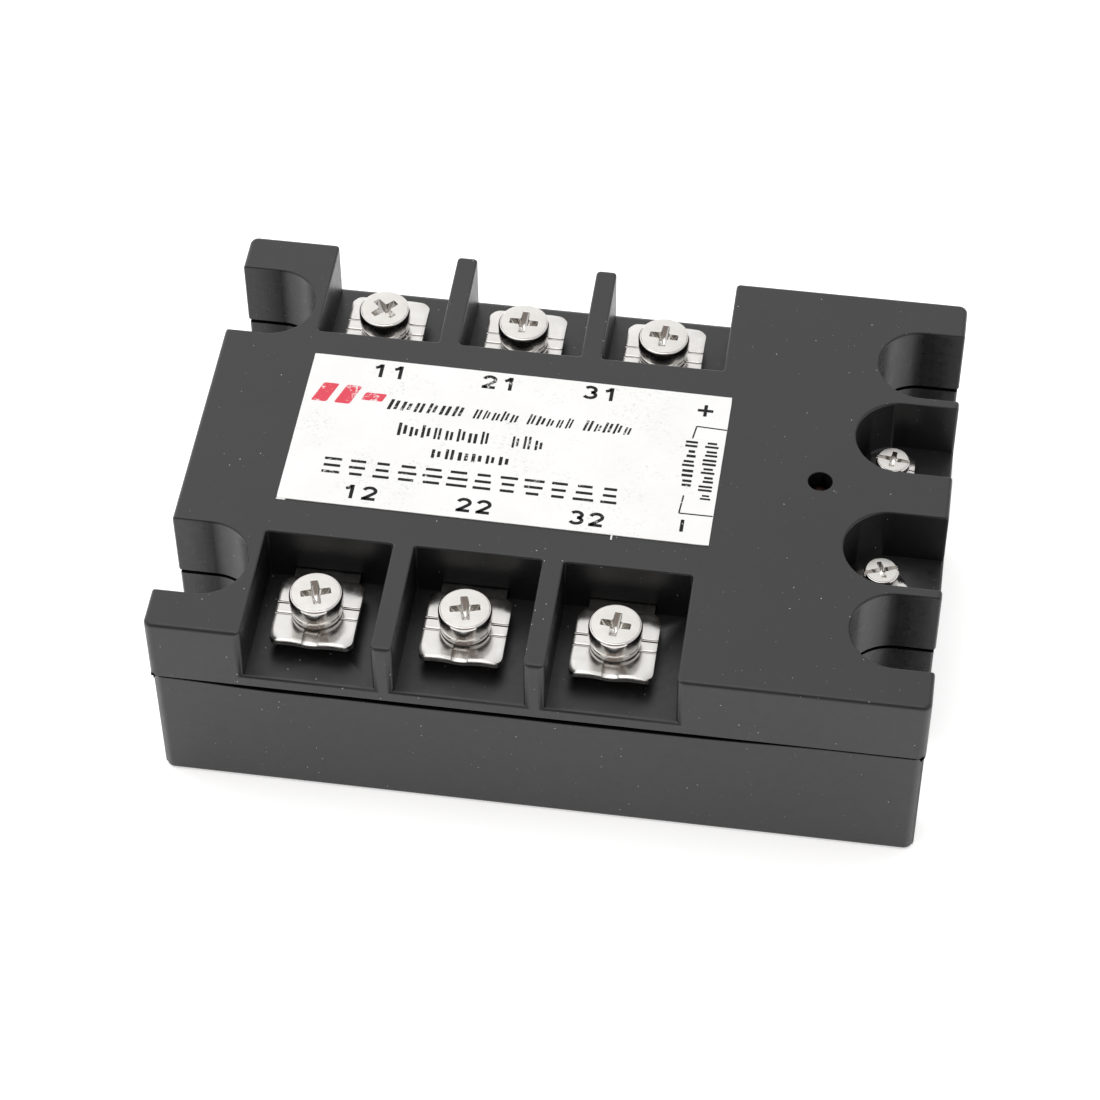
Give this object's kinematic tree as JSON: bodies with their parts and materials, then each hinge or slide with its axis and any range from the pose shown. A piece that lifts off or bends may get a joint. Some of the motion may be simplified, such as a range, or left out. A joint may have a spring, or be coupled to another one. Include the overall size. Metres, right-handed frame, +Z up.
{
  "type": "solid state relay",
  "caption": "Low black two-part housing on a metal base plate, with open screw terminal bays along both long sides, two control input pockets and four mounting notches.",
  "frame": {"origin": "centre of the mounting face, on the underside of the metal base plate", "axes": "+Z up out of the mounting face, +X along the length towards the input end, -Y the front row of output terminals"},
  "size_m": [0.105, 0.0744, 0.0322],
  "materials": {
    "housing_plastic": "satin",
    "base_aluminium": "satin",
    "label_film": "satin",
    "nickel": "polished",
    "zinc_steel": "satin",
    "copper": "satin",
    "ceramic": "matte",
    "silicon": "satin",
    "board": "satin",
    "component_black": "matte",
    "resistor_body": "satin",
    "capacitor_body": "gloss",
    "resistor_blue": "gloss",
    "led_red": "gloss",
    "potting": "satin"
  },
  "bodies": {
    "housing": {"base_plate": "base_aluminium", "housing_base": "housing_plastic", "top_cover": "housing_plastic", "label": "label_film", "output_terminal_1": "nickel", "output_terminal_2": "nickel", "output_terminal_3": "nickel", "output_terminal_4": "nickel", "output_terminal_5": "nickel", "output_terminal_6": "nickel", "output_nuts": "zinc_steel", "input_terminal_plus": "nickel", "input_terminal_minus": "nickel", "input_nuts": "zinc_steel", "ceramic_substrates": "ceramic", "copper_pads": "copper", "thyristor_dies": "silicon", "copper_straps": "copper", "gate_pins": "copper", "control_board": "board", "optocouplers": "component_black", "gate_resistors": "resistor_body", "snubber_capacitors": "capacitor_body", "snubber_resistors": "resistor_blue", "input_transistor": "component_black", "protection_diode": "component_black", "input_resistor": "resistor_body", "status_led": "led_red", "potting_compound": "potting", "base_plate_screws": "zinc_steel"},
    "clamp_1": {"clamp_plate_1": "nickel", "spring_washer_1": "nickel"},
    "screw_1": {"terminal_screw_1": "nickel"},
    "clamp_2": {"clamp_plate_2": "nickel", "spring_washer_2": "nickel"},
    "screw_2": {"terminal_screw_2": "nickel"},
    "clamp_3": {"clamp_plate_3": "nickel", "spring_washer_3": "nickel"},
    "screw_3": {"terminal_screw_3": "nickel"},
    "clamp_4": {"clamp_plate_4": "nickel", "spring_washer_4": "nickel"},
    "screw_4": {"terminal_screw_4": "nickel"},
    "clamp_5": {"clamp_plate_5": "nickel", "spring_washer_5": "nickel"},
    "screw_5": {"terminal_screw_5": "nickel"},
    "clamp_6": {"clamp_plate_6": "nickel", "spring_washer_6": "nickel"},
    "screw_6": {"terminal_screw_6": "nickel"},
    "input_clamp_plus": {"input_clamp_plate_plus": "nickel", "input_spring_washer_plus": "nickel"},
    "input_screw_plus": {"input_screw_plus": "nickel"},
    "input_clamp_minus": {"input_clamp_plate_minus": "nickel", "input_spring_washer_minus": "nickel"},
    "input_screw_minus": {"input_screw_minus": "nickel"}
  },
  "joints": [
    {"name": "clamp_lift_1", "type": "slide", "parent": "housing", "child": "clamp_1", "axis": [0, 0, 1], "range_m": [0, 0.0035]},
    {"name": "screw_turn_1", "type": "hinge", "parent": "clamp_1", "child": "screw_1", "pos_m": [-0.031, 0.027, 0.0272], "axis": [0, 0, 1], "range_deg": [0, 1800]},
    {"name": "clamp_lift_2", "type": "slide", "parent": "housing", "child": "clamp_2", "axis": [0, 0, 1], "range_m": [0, 0.0035]},
    {"name": "screw_turn_2", "type": "hinge", "parent": "clamp_2", "child": "screw_2", "pos_m": [-0.01065, 0.027, 0.0272], "axis": [0, 0, 1], "range_deg": [0, 1800]},
    {"name": "clamp_lift_3", "type": "slide", "parent": "housing", "child": "clamp_3", "axis": [0, 0, 1], "range_m": [0, 0.0035]},
    {"name": "screw_turn_3", "type": "hinge", "parent": "clamp_3", "child": "screw_3", "pos_m": [0.0097, 0.027, 0.0272], "axis": [0, 0, 1], "range_deg": [0, 1800]},
    {"name": "clamp_lift_4", "type": "slide", "parent": "housing", "child": "clamp_4", "axis": [0, 0, 1], "range_m": [0, 0.0035]},
    {"name": "screw_turn_4", "type": "hinge", "parent": "clamp_4", "child": "screw_4", "pos_m": [-0.031, -0.027, 0.0272], "axis": [0, 0, 1], "range_deg": [0, 1800]},
    {"name": "clamp_lift_5", "type": "slide", "parent": "housing", "child": "clamp_5", "axis": [0, 0, 1], "range_m": [0, 0.0035]},
    {"name": "screw_turn_5", "type": "hinge", "parent": "clamp_5", "child": "screw_5", "pos_m": [-0.01065, -0.027, 0.0272], "axis": [0, 0, 1], "range_deg": [0, 1800]},
    {"name": "clamp_lift_6", "type": "slide", "parent": "housing", "child": "clamp_6", "axis": [0, 0, 1], "range_m": [0, 0.0035]},
    {"name": "screw_turn_6", "type": "hinge", "parent": "clamp_6", "child": "screw_6", "pos_m": [0.0097, -0.027, 0.0272], "axis": [0, 0, 1], "range_deg": [0, 1800]},
    {"name": "input_clamp_lift_plus", "type": "slide", "parent": "housing", "child": "input_clamp_plus", "axis": [0, 0, 1], "range_m": [0, 0.0025]},
    {"name": "input_screw_turn_plus", "type": "hinge", "parent": "input_clamp_plus", "child": "input_screw_plus", "pos_m": [0.0441, 0.01025, 0.0255], "axis": [0, 0, 1], "range_deg": [0, 1800]},
    {"name": "input_clamp_lift_minus", "type": "slide", "parent": "housing", "child": "input_clamp_minus", "axis": [0, 0, 1], "range_m": [0, 0.0025]},
    {"name": "input_screw_turn_minus", "type": "hinge", "parent": "input_clamp_minus", "child": "input_screw_minus", "pos_m": [0.0441, -0.01025, 0.0255], "axis": [0, 0, 1], "range_deg": [0, 1800]}
  ],
  "couplings": [
    {"joint": "screw_turn_1", "follows": "clamp_lift_1", "rad_per_m": 8975},
    {"joint": "screw_turn_2", "follows": "clamp_lift_2", "rad_per_m": 8975},
    {"joint": "screw_turn_3", "follows": "clamp_lift_3", "rad_per_m": 8975},
    {"joint": "screw_turn_4", "follows": "clamp_lift_4", "rad_per_m": 8975},
    {"joint": "screw_turn_5", "follows": "clamp_lift_5", "rad_per_m": 8975},
    {"joint": "screw_turn_6", "follows": "clamp_lift_6", "rad_per_m": 8975},
    {"joint": "input_screw_turn_plus", "follows": "input_clamp_lift_plus", "rad_per_m": 12565},
    {"joint": "input_screw_turn_minus", "follows": "input_clamp_lift_minus", "rad_per_m": 12565}
  ]
}
